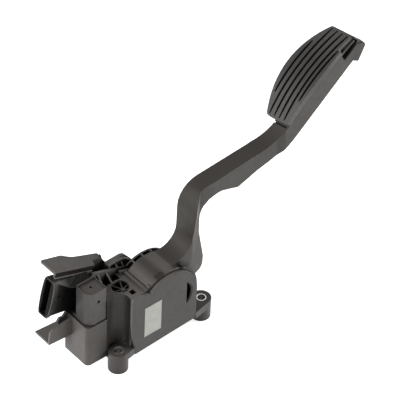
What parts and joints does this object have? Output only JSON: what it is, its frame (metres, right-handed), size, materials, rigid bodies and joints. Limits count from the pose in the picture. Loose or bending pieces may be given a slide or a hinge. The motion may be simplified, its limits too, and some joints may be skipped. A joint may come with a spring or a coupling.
{
  "type": "accelerator pedal",
  "caption": "Electronic accelerator pedal: sprung S-shaped arm with a grooved rubber pad, hinged in a moulded sensor housing with bolt sleeves and plug socket.",
  "frame": {"origin": "centre of the front fixing sleeve at the foot of its boss, on the mounting face", "axes": "+Z along the fixing screws, away from the mounting face; +X along the housing towards the pad; +Y away from the label side"},
  "size_m": [0.2993, 0.0624, 0.2157],
  "materials": {
    "housing_plastic": "moulded glass-filled nylon, fine spark-eroded grain",
    "arm_plastic": "moulded glass-filled nylon, smooth",
    "pad_rubber": "speckled matt rubber",
    "seal_rubber": "soft black rubber",
    "steel": "turned steel, zinc plated",
    "spring_steel": "drawn spring wire",
    "bush_bronze": "sintered bronze",
    "white_acetal": "natural acetal",
    "board": "coated track board",
    "contact_brass": "tinned brass",
    "label_paper": "bare pale film label"
  },
  "bodies": {
    "housing": {"housing": "housing_plastic", "side_cover": "housing_plastic", "sensor_box": "housing_plastic", "sensor_cap": "housing_plastic", "upper_guard": "housing_plastic", "cap_seal": "seal_rubber", "pivot_pin": "steel", "pin_clip": "steel", "friction_ring": "white_acetal", "spring_outer": "spring_steel", "spring_inner": "spring_steel", "track_board": "board", "terminals": "contact_brass", "sleeve_front": "steel", "sleeve_rear": "steel", "sleeve_far": "steel", "label_plate": "label_paper", "idle_stop": "seal_rubber", "full_stop": "seal_rubber"},
    "pedal": {"pedal_arm": "arm_plastic", "pedal_pad": "pad_rubber", "bush_near": "bush_bronze", "bush_far": "bush_bronze", "wiper_carrier": "white_acetal", "wiper_contacts": "contact_brass"}
  },
  "joints": [
    {"name": "pedal_hinge", "type": "hinge", "parent": "housing", "child": "pedal", "pos_m": [0.0463, 0.012, 0.0485], "axis": [0, 1, 0], "range_deg": [0, 16], "stiffness_Nm_per_rad": 3, "springref_deg": -20.05, "deforming": ["spring_outer", "spring_inner"]}
  ]
}
